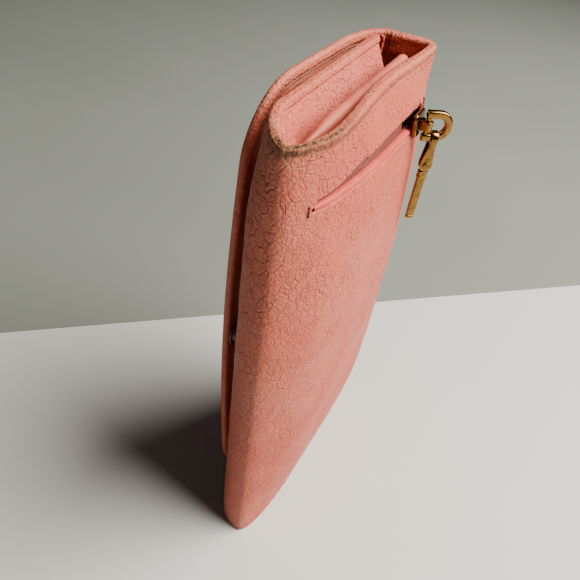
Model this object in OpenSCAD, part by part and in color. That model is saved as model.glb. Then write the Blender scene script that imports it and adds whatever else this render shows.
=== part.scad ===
// Long flap wallet in pebbled leather, standing upright on one short end.
// +Z runs along the long side, +Y is the outward side of the back panel, -Y is the flap side,
// -X is the spine where the pockets open, and +X is the closed bottom fold.
// The origin is the middle of the footprint on the surface that the wallet stands on.

/* [Wallet] */
// Long side of the wallet, which is its height when it stands
wallet_h = 190; // [182:1:205]
// Short side, from the bottom fold to the outside of the spine
wallet_w = 98; // [94:1:106]
// Thickness of the body at its stitched short ends
end_depth = 19.8; // [18.5:0.1:22]
// How far the back panel swells out between the short ends
back_swell = 8.5; // [7:0.1:9]
// How far the front panel swells out between the short ends
front_swell = 1.5; // [0:0.1:1.8]
// Waviness of the back panel's upper rim
rim_wave = 1.3; // [0:0.1:1.6]

/* [Leather] */
// Thickness of the outer leather
leather_t = 1.5; // [1.3:0.05:1.6]
// Thickness of the turned and stitched hem at the short ends
hem_t = 3.2; // [2.6:0.1:3.4]
// Height of that hem along the long side
hem_h = 6.5; // [5:0.5:8]
// Thickness of the lining
lining_t = 0.5; // [0.4:0.05:0.6]

/* [Flap] */
// Distance from the bottom fold to the flap's free edge
flap_edge = 20; // [18:1:26]
// Radius of the flap's two free corners
flap_corner = 22; // [16:1:26]
// How far the flap's free edge bows away from the body halfway up
flap_bow = 4.2; // [3.8:0.1:4.8]
// Radius of the press stud's two halves
snap_r = 5.2; // [4.5:0.1:6]

/* [Zip] */
// Distance of the zip's middle line from the upper short end
slit_drop = 16.6; // [16:0.1:18]
// Width of the slit in the leather
slit_gape = 5; // [5:0.1:5.4]
// Distance from the bottom fold to the slit's closed end
slit_start = 8; // [8:0.5:11]
// Distance from the bottom fold to the slit's other end
slit_end = 86; // [86:0.5:87]
// How far the slit sinks from its closed end to its end at the spine
slit_sink = 4; // [2:0.5:4.5]
// Distance from the bottom fold to the middle of the slider
slider_at = 78; // [76.5:0.5:80.5]
// Spacing of the coil's teeth
tooth_pitch = 1.6; // [1.5:0.1:2.4]

/* [Puller] */
// Swing of the ring from straight out towards the spine
ring_angle = 35; // [20:1:40]
// Radius of the middle line of the ring's round end
ring_r = 4.1; // [3.8:0.1:4.2]
// Distance from the ring's pivot to the centre of its round end
ring_reach = 3.2; // [3:0.1:3.4]
// Distance from the middle of the ring's band to the rivet
link_l = 10.5; // [9.5:0.5:11]
// Length of the bar pull
bar_l = 16; // [13:0.5:17]

/* [Hidden] */
$fn = 48;

GRAINED = [0.88, 0.58, 0.52];
SMOOTH = [0.94, 0.64, 0.58];
BRIGHT = [0.93, 0.52, 0.48];
CLOTH = [0.80, 0.50, 0.45];
BOARD = [0.75, 0.70, 0.62];
GOLD = [0.85, 0.68, 0.30];

mid_y = 2;                      // moves the section so that the whole part is centred on Y = 0
back_y0 = 0.555 * end_depth;    // back panel's outer face at the short ends
front_y0 = -0.445 * end_depth;  // front panel's outer face at the short ends
fold_y = 4;                     // where the bottom fold turns
split_s = 14;                   // distance from the bottom fold to the front panel's fold line
mouth_s = wallet_w - 10;        // front panel's free edge
back_end = wallet_w - 1.5;      // back panel's edge at the spine
corner_s = 7;                   // length of the corner between back panel and spine
layer = 0.05;                   // air left between glued layers
pocket_out = wallet_w - 7;      // zip pocket's edge at the spine
sink_foot = 18;                 // the slit's sinking fades out this far below its middle line
wall_foot = 10;                 // the pocket's outer wall stops this far below that line
lip_row = 5;                    // rows of points this far from that line

slit_mid = wallet_h - slit_drop;
slit_lo = slit_mid - slit_gape * 0.62;
slit_hi = slit_mid + slit_gape * 0.38;
welt_t = 1.75;                  // visible width of the lower lip's smooth welt
tape_out = 2.0;                 // depth of the tapes' outer face under the leather
tape_t = 0.4;
coil_r = 0.45;

// ---- the wallet's curved section ------------------------------------------------------------
function unit(t) = max(0, min(1, t));
function swell(z) = 1 - pow(abs(2 * z / wallet_h - 1), 3);
function reach(s) =
  let (f = s / wallet_w)
  f < 0.46 ? sin(90 * f / 0.46) : f < 0.765 ? 1 : cos(300 * (f - 0.765));
function wave(s, z) =
  rim_wave * cos(360 * (s - 0.18 * wallet_w) / (0.77 * wallet_w)) * unit(1 - (wallet_h - z) / 12);

// height of the corner between back panel and spine, 0 on the panel
function corner_drop(s) =
  let (c = unit((s - (wallet_w - corner_s)) / corner_s))
  corner_s * (1 - sqrt(1 - c * c));
function back_y(s, z) = back_y0 + wave(s, z) + back_swell * swell(z) * reach(s) - corner_drop(s);
function front_y(s, z) = front_y0 - front_swell * swell(z) * reach(s);

// length over which each side curves into the bottom fold, and how full that curve is
function nose_len(side, z) =
  side > 0 ? 18 + 14 * pow(1 - z / wallet_h, 2)
           : 11.5 + 3 * z / wallet_h + 6.5 * pow(unit((z / wallet_h - 0.84) / 0.16), 2);
function nose_power(side, z) = side > 0 ? 2 : 2 - 0.6 * unit((z / wallet_h - 0.84) / 0.16);
function nose_curve(t, p) = pow(1 - pow(1 - t, p), 1 / p);

// s is the distance from the bottom fold, positive on the back side and negative on the front
function turn_of(s, z) =
  let (n = nose_len(s, z), d = abs(s))
  sign(s) * (d < n ? n * acos(1 - d / n) / 90 : d);
function outer_at(turn, z) =
  let (n = nose_len(turn, z),
       s = abs(turn) < n ? n * (1 - cos(90 * abs(turn) / n)) : abs(turn),
       y = turn > 0 ? back_y(s, z) : front_y(s, z),
       g = nose_curve(unit(s / n), nose_power(turn, z)))
  [wallet_w / 2 - s, fold_y + (y - fold_y) * g - mid_y];
// point at a depth under the outer face
function skin(s, z, depth) =
  let (u = turn_of(s, z),
       d = outer_at(u + 0.05, z) - outer_at(u - 0.05, z),
       p = outer_at(u, z) + depth * [-d.y, d.x] / norm(d))
  [p.x, p.y, z];

// ---- the flap's and the spine's curved section ----------------------------------------------
flap_bend = 26;      // length over which the flap turns from the spine
flap_root_y = -4;    // where that turn starts on the spine
flap_rest_y = -15.6; // flap's outer face at the end of the turn
function flap_y(s, z) =
  let (t = unit((wallet_w - s) / flap_bend),
       flat_y = flap_rest_y - 1.4 * unit((0.78 * wallet_w - s) / 56)
                - flap_bow * sin(180 * z / wallet_h) * (wallet_w - s) / (0.8 * wallet_w))
  flap_root_y + (flat_y - flap_root_y) * nose_curve(t, 2);
// inset keeps the inner layers off the edge
function flap_free(z, inset) =
  let (r = flap_corner, d = unit(min(z, wallet_h - z) / r) * r)
  flap_edge + inset + r - sqrt(r * r - (r - d) * (r - d));
function flap_skin(s, z, depth) =
  let (dy = (flap_y(s + 0.1, z) - flap_y(s - 0.1, z)) / 0.2, k = depth / sqrt(1 + dy * dy))
  [wallet_w / 2 - s + k * dy, flap_y(s, z) + k - mid_y, z];
spine_low = -7;
function spine_skin(t, z, depth) =
  let (top = back_y(back_end, z) - 0.4 - 0.8 * depth)
  [-wallet_w / 2 + 1.1 * pow(abs(2 * t - 1), 3) + depth, top + (spine_low - top) * t - mid_y, z];

// ---- building blocks ------------------------------------------------------------------------
// closed sheet between two faces, over the grid of as by bs; cells inside hole are left out
module sheet(as, bs, lower, upper, hole = [0, 0, 0, 0]) {
  na = len(as);
  nb = len(bs);
  points = [for (f = [lower, upper]) for (a = as) for (b = bs) f(a, b)];
  function id(k, i, j) = k * na * nb + i * nb + j;
  function solid(i, j) =
    i >= 0 && j >= 0 && i < na - 1 && j < nb - 1
    && !(i >= hole[0] && i < hole[1] && j >= hole[2] && j < hole[3]);
  cells = [for (i = [0 : na - 2]) for (j = [0 : nb - 2]) if (solid(i, j)) [i, j]];
  faces = [
    for (c = cells) let (i = c[0], j = c[1]) each [
      [id(0, i, j), id(0, i, j + 1), id(0, i + 1, j + 1)],
      [id(0, i, j), id(0, i + 1, j + 1), id(0, i + 1, j)],
      [id(1, i, j), id(1, i + 1, j + 1), id(1, i, j + 1)],
      [id(1, i, j), id(1, i + 1, j), id(1, i + 1, j + 1)],
      if (!solid(i - 1, j)) each wall(id(0, i, j), id(0, i, j + 1), id(1, i, j + 1), id(1, i, j)),
      if (!solid(i + 1, j))
        each wall(id(0, i + 1, j + 1), id(0, i + 1, j), id(1, i + 1, j), id(1, i + 1, j + 1)),
      if (!solid(i, j - 1)) each wall(id(0, i + 1, j), id(0, i, j), id(1, i, j), id(1, i + 1, j)),
      if (!solid(i, j + 1))
        each wall(id(0, i, j + 1), id(0, i + 1, j + 1), id(1, i + 1, j + 1), id(1, i, j + 1))
    ]
  ];
  polyhedron(points, faces);
}
function wall(a, b, c, d) = [[a, d, c], [a, c, b]];
function spread(a, b, n) = [for (i = [0 : n]) a + (b - a) * i / n];

// the slit, the zip and the pocket sink towards the spine; their rows are written as if level
function sink(s, z) =
  let (across = min((s - slit_start) / (slit_end - slit_start), (back_end - s) / (back_end - slit_end)),
       above = (wallet_h - hem_h - z) / (wallet_h - hem_h - pocket_top),
       below = (z - pocket_foot) / (slit_mid - sink_foot - pocket_foot))
  slit_sink * unit(across) * unit(min(above, below));
function sunk(s, z, depth) = skin(s, z - sink(s, z), depth);
// sheet that follows the body's outer face between two depths
module body_sheet(ss, zs, from, to, hole = [0, 0, 0, 0]) {
  sheet(ss, zs, function(s, z) sunk(s, z, to(s, z)), function(s, z) sunk(s, z, from(s, z)), hole);
}
module body_layer(ss, zs, from, to, hole = [0, 0, 0, 0]) {
  body_sheet(ss, zs, function(s, z) from, function(s, z) to, hole);
}
function hem(z) = min(z, wallet_h - z) <= hem_h ? hem_t : leather_t;

// glued layers share these columns and rows, so that their flat cells stay parallel
hem_rows = [0, hem_h, hem_h + 0.6];
pocket_foot = 84;
pocket_top = slit_mid + 7.5;
low_rows = spread(25, pocket_foot, 4);
pocket_rows = concat(spread(pocket_foot, slit_mid - sink_foot, 6),
                     [slit_mid - wall_foot, slit_mid - lip_row]);
top_rows = [slit_mid + lip_row, pocket_top];
slider_row = slit_mid + 3.8;    // upper edge of the deep strip that the slider runs in
inner_rows = concat(pocket_rows, [slider_row], top_rows);
slit_cols = concat([slit_start, 14], spread(20, 80, 8), [slit_end]);
corner_cols = [wallet_w - corner_s, wallet_w - 4, back_end];

// ---- back panel with the bottom fold --------------------------------------------------------
module back_leather() {
  nose = [-split_s, -9, -5, -2.2, -0.6, 0, 0.6, 2.2, 5];
  below = concat(hem_rows, [for (z = low_rows) if (z < pocket_foot) z], pocket_rows);
  rows = concat(below, [slit_lo, slit_hi], top_rows, [wallet_h - hem_h, wallet_h]);
  color(GRAINED)
    body_sheet(concat(nose, slit_cols, corner_cols), rows, function(s, z) 0, function(s, z) hem(z),
               [len(nose), len(nose) + len(slit_cols) - 1, len(below), len(below) + 1]);
}

// depth of the zip pocket's inner wall: slim, deeper behind the slider, closed at its edges
cloth_t = 0.35;
pocket_edge = leather_t + 2 * layer + cloth_t;
pocket_slim = 1.7;
pocket_deep = 3.6;
function pocket_depth(s, z) =
  let (edge = unit(min(z - pocket_foot, pocket_top - z + 0.3, s - slit_start, pocket_out - s) / 4),
       behind = unit(1 - (abs(z - slit_mid) - lip_row) / (wall_foot - lip_row)))
  pocket_edge + edge * (pocket_slim + pocket_deep * behind);
pocket_cols = concat(slit_cols, [pocket_out]);

module pocket_wall_outer() {
  rows = [for (z = pocket_rows) if (z <= slit_mid - wall_foot) z];
  color(CLOTH) body_layer(pocket_cols, rows, leather_t + layer, leather_t + layer + cloth_t);
}
module pocket_wall_inner() {
  color(CLOTH)
    body_sheet(pocket_cols, inner_rows, function(s, z) pocket_depth(s, z),
               function(s, z) pocket_depth(s, z) + cloth_t);
}
module back_lining() {
  low = concat([hem_h + 0.6], [for (z = low_rows) if (z < pocket_foot) z]);
  depth = function(s, z)
    z < pocket_foot ? leather_t + layer : pocket_depth(s, z) + cloth_t + layer;
  color(SMOOTH)
    body_sheet(pocket_cols, concat(low, inner_rows), depth,
               function(s, z) depth(s, z) + lining_t);
}

// ---- zip ------------------------------------------------------------------------------------
lip_gap = 0.15;
lip_cols = [for (s = slit_cols) max(slit_start + 2 * lip_gap, min(slit_end - 2 * lip_gap, s))];
tape_cols = [for (s = lip_cols) if (s >= 14) s];
tape_w = 6.5;
upper_w = 3.5;
module slit_welt_lower() {
  color(BRIGHT)
    body_layer(lip_cols, [slit_lo + lip_gap, slit_lo + lip_gap + welt_t], 0.2, tape_out - layer);
}
module slit_facing_upper() {
  color(GRAINED)
    body_layer(tape_cols, [slit_hi - 0.8, slit_mid + lip_row, slit_hi + upper_w],
               leather_t + layer, tape_out - layer);
}
module zip_tape_lower() {
  color(BRIGHT)
    body_layer(tape_cols, [slit_lo - tape_w, slit_mid - lip_row, slit_lo + welt_t],
               tape_out, tape_out + tape_t);
}
module zip_tape_upper() {
  color(BRIGHT)
    body_layer(tape_cols, [slit_hi - 0.4, slit_mid + lip_row, slit_hi + upper_w],
               tape_out, tape_out + tape_t);
}
coil_in = tape_out + tape_t + 0.15 + coil_r;
coil_lead = 9;     // distance from the slit's closed end to the first tooth
coil_trail = 4.5;  // distance from the last tooth to the slit's other end
stop_lead = 2.1;   // distance from the stop to the first tooth
lower_coil_z = slit_lo + 0.85;
upper_coil_z = slit_hi + 0.45;
module coil(z) {
  count = floor((slit_end - slit_start - coil_lead - coil_trail) / tooth_pitch);
  for (i = [0 : count]) translate(sunk(slit_start + coil_lead + i * tooth_pitch, z, coil_in))
    cylinder(r = coil_r, h = 1.5, center = true, $fn = 24);
}
module zip_coil_lower() {
  color(BRIGHT) coil(lower_coil_z);
}
module zip_coil_upper() {
  color(BRIGHT) coil(upper_coil_z);
}
module zip_stops() {
  color(GOLD)
    for (z = [lower_coil_z, upper_coil_z])
      translate(sunk(slit_start + coil_lead - stop_lead, z, coil_in)) cube([1.4, 0.9, 1.6], center = true);
}

// ---- centre divider -------------------------------------------------------------------------
divider_t = 2.8;
divider_board_t = 1;
divider_y = 0.95 - mid_y;
divider_end = 4;
divider_x = [-wallet_w / 2 + 9, wallet_w / 2 - split_s - 0.5];
// upright plate with round short ends, lengthwise along X
module round_plate(x, thick, z0, z1) {
  translate([x[0], divider_y, 0]) rotate([90, 0, 90])
    linear_extrude(x[1] - x[0]) {
      translate([-thick / 2, z0 + thick / 2]) square([thick, z1 - z0 - thick]);
      for (z = [z0 + thick / 2, z1 - thick / 2]) translate([0, z]) circle(d = thick);
    }
}
// flat block inside that plate, inset from its free ends and one millimetre more from its round ones
module divider_core(inset, thick) {
  translate([divider_x[0] + inset, divider_y - thick / 2, divider_end + inset + 1])
    cube([divider_x[1] - divider_x[0] - 2 * inset, thick, wallet_h - 2 * (divider_end + inset + 1)]);
}
module divider_leather() {
  color(SMOOTH) difference() {
    round_plate(divider_x, divider_t, divider_end, wallet_h - divider_end);
    divider_core(1, divider_board_t + 2 * layer);
  }
}
module divider_board() {
  color(BOARD) divider_core(1.2, divider_board_t);
}

// ---- front panel ----------------------------------------------------------------------------
front_cols = concat([-mouth_s], [for (s = spread(80, 20, 6)) -s], [-split_s - 0.4]);
module front_leather() {
  rows = concat(hem_rows, spread(25, wallet_h - 25, 7),
                [wallet_h - hem_h - 0.6, wallet_h - hem_h, wallet_h]);
  color(GRAINED) body_sheet(front_cols, rows, function(s, z) 0, function(s, z) hem(z));
}
module front_lining() {
  cols = concat([-mouth_s + 0.5], [for (s = spread(80, 20, 6)) -s], [-split_s - 1]);
  color(SMOOTH)
    body_layer(cols, spread(hem_h + 1, wallet_h - hem_h - 1, 8), leather_t + layer,
               leather_t + layer + lining_t);
}

// ---- gussets --------------------------------------------------------------------------------
gusset_drop = 6;
gusset_t = 1;
// side is 1 at the back and -1 at the front; up is true at the upper short end
module gusset(side, up) {
  cols = [for (s = concat([16.5], spread(25, 85, 6))) side * s];
  shoulder = divider_end + 0.8;
  place = function(s, t, extra)
    let (sag = gusset_drop * (1 - abs(2 * t - 1)) + shoulder + extra - 3.4 * (1 - t),
         z = up ? wallet_h - sag : sag,
         rim = skin(s, z, hem_t + 0.35),
         ridge = divider_y + side * (divider_t / 2 + 0.15))
    [rim.x, rim.y + (ridge - rim.y) * t, z];
  flip = (side > 0) == up;
  near = function(s, t) place(s, t, flip ? 0 : gusset_t);
  far = function(s, t) place(s, t, flip ? gusset_t : 0);
  color(GRAINED) sheet(cols, [0, 0.25, 0.5, 0.75, 1], side > 0 ? near : far, side > 0 ? far : near);
}
module gusset_back_top() gusset(1, true);
module gusset_back_bottom() gusset(1, false);
module gusset_front_top() gusset(-1, true);
module gusset_front_bottom() gusset(-1, false);

// ---- spine ----------------------------------------------------------------------------------
spine_rows = concat(hem_rows, spread(25, wallet_h - 25, 6),
                    [wallet_h - hem_h - 0.6, wallet_h - hem_h, wallet_h]);
module spine_leather() {
  color(GRAINED)
    sheet(spread(0, 1, 6), spine_rows, function(t, z) spine_skin(t, z, hem(z)),
          function(t, z) spine_skin(t, z, 0));
}
module spine_lining() {
  color(GRAINED)
    sheet(spread(0.03, 0.97, 6), spread(hem_h + 1, wallet_h - hem_h - 1, 7),
          function(t, z) spine_skin(t, z, leather_t + layer + lining_t),
          function(t, z) spine_skin(t, z, leather_t + layer));
}

// ---- flap -----------------------------------------------------------------------------------
flap_root = wallet_w - 3.5;
flap_leather_t = 1.3;
flap_board_t = 0.6;
slot_t = 0.35;
flap_gap = 0.3;
flap_corner_rows = [1, 2.5, 5, 10, 16, 22];
function flap_rows(inset) =
  let (low = concat([flap_gap + inset], [for (z = flap_corner_rows) if (z > inset + 0.6) z]))
  concat(low, spread(35, wallet_h - 35, 8), [for (i = [len(low) - 1 : -1 : 0]) wallet_h - low[i]]);
// shares of the way from the flap's root to its free edge
flap_cols = [0, 0.03, 0.06, 0.1, 0.14, 0.19, 0.24, 0.3, 0.4, 0.6, 0.8, 1];
// sheet of the flap between two depths, from a column on; inset keeps it off the edges
module flap_sheet(from_col, inset, from, to) {
  at = function(t, z, depth)
    let (s = flap_root + (flap_free(z, inset) - flap_root) * t) flap_skin(s, z, depth);
  sheet([for (i = [from_col : len(flap_cols) - 1]) flap_cols[i]], flap_rows(inset),
        function(t, z) at(t, z, from), function(t, z) at(t, z, to));
}
flap_board_in = flap_leather_t + layer;
flap_lining_in = flap_board_in + flap_board_t + layer;
slot_in = flap_lining_in + lining_t + 3 * layer;
module flap_leather() {
  color(GRAINED) flap_sheet(0, 0, 0, flap_leather_t);
}
module flap_board() {
  color(BOARD) flap_sheet(2, 1.2, flap_board_in, flap_board_in + flap_board_t);
}
module flap_lining() {
  color(GRAINED) flap_sheet(2, 0.4, flap_lining_in, flap_lining_in + lining_t);
}
// one card slot: 1 opens nearest to the free edge and lies against the lining
slot_mouth = 30;
slot_step = 8;
slot_end = 8.5;  // distance from the slots to the short ends
slot_gap = 2;    // half of the gap between the two columns
slot_cols = [78, 75, 72, 69, 62, slot_mouth + 2 * slot_step, slot_mouth + slot_step, slot_mouth];
module card_slot(row, upper) {
  mouth = slot_mouth + slot_step * (row - 1);
  z0 = upper ? wallet_h / 2 + slot_gap : slot_end;
  z1 = upper ? wallet_h - slot_end : wallet_h / 2 - slot_gap;
  d = slot_in + (row - 1) * (slot_t + layer);
  color(SMOOTH)
    sheet([for (s = slot_cols) if (s >= mouth) s], spread(z0, z1, 5),
          function(s, z) flap_skin(s, z, d), function(s, z) flap_skin(s, z, d + slot_t));
}
module card_slot_upper_1() card_slot(1, true);
module card_slot_upper_2() card_slot(2, true);
module card_slot_upper_3() card_slot(3, true);
module card_slot_lower_1() card_slot(1, false);
module card_slot_lower_2() card_slot(2, false);
module card_slot_lower_3() card_slot(3, false);

// ---- press stud -----------------------------------------------------------------------------
snap_s = 25;
snap_z = wallet_h / 2;
snap_flap_y = flap_y(snap_s, snap_z) - mid_y + slot_in + 0.45;
snap_h = 2;
snap_front_y = front_y(snap_s, snap_z) - mid_y - 0.35;
snap_post_r = 2;
snap_rim = 0.8;
module toward_front(y) {
  translate([wallet_w / 2 - snap_s, y, snap_z]) rotate([-90, 0, 0]) children();
}
module snap_socket() {
  color(BRIGHT) toward_front(snap_flap_y) difference() {
    union() {
      cylinder(r = snap_r, h = snap_rim);
      cylinder(r = snap_r - 1.2, h = snap_h);
    }
    translate([0, 0, snap_rim]) cylinder(r = snap_post_r + 0.5, h = snap_h);
  }
}
module snap_stud() {
  color(BRIGHT) toward_front(snap_front_y) {
    translate([0, 0, -snap_rim]) cylinder(r = snap_r, h = snap_rim);
    translate([0, 0, -snap_h]) cylinder(r = snap_post_r, h = snap_h);
  }
}

// ---- slider and puller ----------------------------------------------------------------------
plate_t = 1.4;
slider_z = slit_mid - sink(slider_at, slit_mid);
plate_y = back_y0 + back_swell * swell(slider_z) + 0.3 - mid_y;
pivot_rise = 2.4;
pivot_y = plate_y + plate_t + pivot_rise;
pivot_r = 0.88;
slider_x = wallet_w / 2 - slider_at;
inner_plate_y = plate_y - 6;
inner_plate_t = 0.8;
post_w = 3;
post_h = 1.5;
bridge_r = 1.75;
bridge_h = 3.4;
weld = 0.4;        // overlap of joined metal parts
// slope of the back panel across the zip, which the plates follow
slit_slope = atan(back_swell * (swell(slider_z + 1) - swell(slider_z - 1)) / 2);
module plate(lx, lz, t, r) {
  rotate([-90 - slit_slope, 0, 0]) linear_extrude(t) {
    square([lx - 2 * r, lz], center = true);
    square([lx, lz - 2 * r], center = true);
    for (x = [-1, 1], z = [-1, 1]) translate([x * (lx / 2 - r), z * (lz / 2 - r)]) circle(r);
  }
}
module slider_body() {
  color(GOLD) translate([slider_x, 0, slider_z]) {
    translate([0, plate_y, 0]) plate(9.5, 7.6, plate_t, 1.6);
    translate([-post_w / 2, inner_plate_y - weld, -post_h / 2])
      cube([post_w, plate_y - inner_plate_y + 2 * weld, post_h]);
    translate([0, inner_plate_y - inner_plate_t, 0]) plate(9, 7, inner_plate_t, 1.5);
  }
}
module slider_bridge() {
  color(GOLD) translate([slider_x, pivot_y, slider_z]) difference() {
    union() {
      cylinder(r = bridge_r, h = bridge_h, center = true);
      translate([-bridge_r, -pivot_rise - weld, -bridge_h / 2])
        cube([2 * bridge_r, pivot_rise + weld, bridge_h]);
    }
    cylinder(r = pivot_r + 0.07, h = bridge_h + 2, center = true);
    // flat foot on the outer plate
    translate([0, plate_y - pivot_y, 0]) plate(10, 8, plate_t + 0.03, 1.6);
  }
}

// ---- ring, link and bar ---------------------------------------------------------------------
band_wide = 2.6;
band_thick = 2.4;
band_round = 0.7;
module band_section(a, b) {
  r = band_round;
  square([a - 2 * r, b], center = true);
  square([a, b - 2 * r], center = true);
  for (x = [-1, 1], y = [-1, 1]) translate([x * (a / 2 - r), y * (b / 2 - r)]) circle(r);
}
// the ring's own frame: Y points out along the ring, X is across its thickness
module on_ring() {
  translate([slider_x, pivot_y, slider_z]) rotate([0, 0, ring_angle]) children();
}
module puller_ring() {
  color(GOLD) on_ring() {
    translate([0, ring_reach, 0]) rotate([0, -90, 0]) rotate_extrude(angle = 180)
      translate([ring_r, 0]) band_section(band_wide, band_thick);
    for (z = [-ring_r, ring_r]) translate([0, -1, z]) rotate([-90, 0, 0])
      linear_extrude(ring_reach + 1) band_section(band_thick, band_wide);
    cylinder(r = pivot_r, h = 2 * ring_r, center = true);
  }
}
eye_in = 1.75;
eye_out = 2.4;
link_in = 0.6;
link_out = 1.25;
link_half = 2.1;
link_neck = 1.1;
rivet_r = 0.8;
room = 6;          // cutting length that clears the link
// the link's own frame: origin in the middle of the ring's band, Z up
module on_link() {
  on_ring() translate([0, ring_reach, -ring_r]) children();
}
function arc(r, a0, a1, n, y) = [for (a = spread(a0, a1, n)) [r * cos(a), r * sin(a) + y]];
// side view of the folded strap, as a solid drop
module strap_side(r0, r1) {
  polygon(concat(arc(r0, 180, 0, 24, 0), [[r1, 2 - link_l], [r1, -link_l - 3], [-r1, -link_l - 3],
                 [-r1, 2 - link_l]]));
}
// face view of the strap: slim at the ring, wide and round at the rivet
module strap_face() {
  polygon(concat([[-link_neck, 3], [link_neck, 3], [link_neck, -3], [link_half, 1.5 - link_l]],
                 arc(link_half, 0, -180, 20, -link_l), [[-link_half, 1.5 - link_l], [-link_neck, -3]]));
}
module puller_link() {
  color(GOLD) on_link() difference() {
    intersection() {
      rotate([90, 0, 0]) linear_extrude(room, center = true) difference() {
        strap_side(eye_out, link_out);
        strap_side(eye_in, link_in);
      }
      rotate([90, 0, 90]) linear_extrude(room, center = true) strap_face();
    }
    translate([0, 0, -link_l]) rotate([0, 90, 0]) cylinder(r = rivet_r + 0.02, h = room, center = true);
  }
}
module link_rivet() {
  color(GOLD) on_link() translate([0, 0, -link_l]) rotate([0, 90, 0]) {
    cylinder(r = rivet_r, h = 2 * link_out + 0.6, center = true);
    for (side = [-1, 1]) translate([0, 0, side * (link_out + 0.2)])
      cylinder(r = 1.3, h = 0.36, center = true);
  }
}
collar_top = link_half + 0.3;
collar_h = 2.8;
tongue_r = 1.55;
tongue_t = 1;
module puller_collar() {
  color(GOLD) on_link() translate([0, 0, -link_l]) difference() {
    union() {
      rotate([0, 90, 0]) cylinder(r = tongue_r, h = tongue_t, center = true);
      translate([-tongue_t / 2, -1.1, -collar_top - 0.2]) cube([tongue_t, 2.2, collar_top + 0.2]);
      // two raised bands with a groove between them
      translate([0, 0, -collar_top - 1.1]) linear_extrude(1.1) band_section(2.6, 3.4);
      translate([0, 0, -collar_top - 2]) linear_extrude(1.2) band_section(2, 2.8);
      translate([0, 0, -collar_top - collar_h]) linear_extrude(1) band_section(2.6, 3.4);
    }
    rotate([0, 90, 0]) cylinder(r = rivet_r + 0.06, h = 4, center = true);
  }
}
bar_top = collar_top + collar_h;
tip_h = 1.2;
module puller_bar() {
  color(GOLD) on_link() translate([0, 0, -link_l - bar_top - bar_l])
    linear_extrude(bar_l) square([1.8, 2.8], center = true);
}
module bar_tip() {
  color(GOLD) on_link() translate([0, 0, -link_l - bar_top - bar_l - tip_h])
    linear_extrude(tip_h) band_section(2, 3);
}

back_leather();
back_lining();
pocket_wall_outer();
pocket_wall_inner();
slit_welt_lower();
slit_facing_upper();
zip_tape_lower();
zip_tape_upper();
zip_coil_lower();
zip_coil_upper();
zip_stops();
divider_leather();
divider_board();
front_leather();
front_lining();
snap_stud();
gusset_back_top();
gusset_back_bottom();
gusset_front_top();
gusset_front_bottom();
spine_leather();
spine_lining();
flap_leather();
flap_board();
flap_lining();
snap_socket();
card_slot_upper_1();
card_slot_upper_2();
card_slot_upper_3();
card_slot_lower_1();
card_slot_lower_2();
card_slot_lower_3();
slider_body();
slider_bridge();
puller_ring();
puller_link();
link_rivet();
puller_collar();
puller_bar();
bar_tip();
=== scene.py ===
"""Long flap wallet in pebbled leather, standing on a short end. All the section work is in millimetres."""
import math
import bpy
import numpy as np
from mathutils import Matrix, Vector, noise


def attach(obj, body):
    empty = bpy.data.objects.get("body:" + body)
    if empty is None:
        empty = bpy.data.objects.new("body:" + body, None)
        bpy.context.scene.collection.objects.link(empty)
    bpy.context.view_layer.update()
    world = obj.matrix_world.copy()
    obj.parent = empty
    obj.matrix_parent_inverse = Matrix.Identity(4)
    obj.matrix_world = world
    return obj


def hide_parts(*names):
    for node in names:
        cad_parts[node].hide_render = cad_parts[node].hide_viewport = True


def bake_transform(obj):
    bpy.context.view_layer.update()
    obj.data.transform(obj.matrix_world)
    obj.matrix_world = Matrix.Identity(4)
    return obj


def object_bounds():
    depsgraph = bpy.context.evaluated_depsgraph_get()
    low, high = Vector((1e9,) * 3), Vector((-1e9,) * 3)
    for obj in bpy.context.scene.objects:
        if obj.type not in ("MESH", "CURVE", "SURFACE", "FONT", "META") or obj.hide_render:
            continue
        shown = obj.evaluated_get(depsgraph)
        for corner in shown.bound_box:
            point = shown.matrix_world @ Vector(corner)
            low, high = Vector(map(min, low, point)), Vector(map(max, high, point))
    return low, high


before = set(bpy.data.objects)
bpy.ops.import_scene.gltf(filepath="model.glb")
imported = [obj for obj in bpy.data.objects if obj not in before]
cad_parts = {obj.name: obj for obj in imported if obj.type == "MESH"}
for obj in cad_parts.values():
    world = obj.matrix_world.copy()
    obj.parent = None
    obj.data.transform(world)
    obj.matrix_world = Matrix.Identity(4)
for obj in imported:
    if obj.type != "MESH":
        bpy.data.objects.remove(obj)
cad_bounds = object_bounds()
MM = 0.001

# ---- the section of part.scad, repeated with arrays ----
W = (cad_bounds[1][0] - cad_bounds[0][0]) / MM      # short side
H = (cad_bounds[1][2] - cad_bounds[0][2]) / MM      # long side, the height as it stands
MID_Y, FOLD_Y = 2.0, 4.0
END_T, BACK_SHARE = 19.8, 0.555                     # thickness at the short ends, and the back's share
BACK_Y0, FRONT_Y0 = BACK_SHARE * END_T, (BACK_SHARE - 1) * END_T
BACK_SWELL, FRONT_SWELL, RIM_WAVE = 8.5, 1.5, 1.3
HEM_T, HEM_H = 3.2, 6.5
SPLIT_S, MOUTH_S, CORNER_R = 14.0, W - 10, 7.0
SLIT_MID = H - 16.6
SLIT_LO = SLIT_MID - 3.1
SLIT_START, SLIT_END, SLIT_SINK = 8.0, W - 12, 4.0
COIL_IN = 3.0                                       # depth of the coils' middles
POCKET_FOOT, POCKET_TOP = 84.0, SLIT_MID + 7.5
SEAM_Y = -4.0                                       # where the hide's two pieces meet on the spine
RIDGE_Y, RIDGE_T, RIDGE_END = -1.05, 3.9, 2.4       # the centre divider


def unit(t):
    return np.clip(t, 0.0, 1.0)


def smooth(t):
    t = unit(t)
    return t * t * (3 - 2 * t)


def swell(z):
    """From 0 at the short ends to 1 half way between them."""
    return 1 - np.abs(2 * z / H - 1) ** 3


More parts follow.
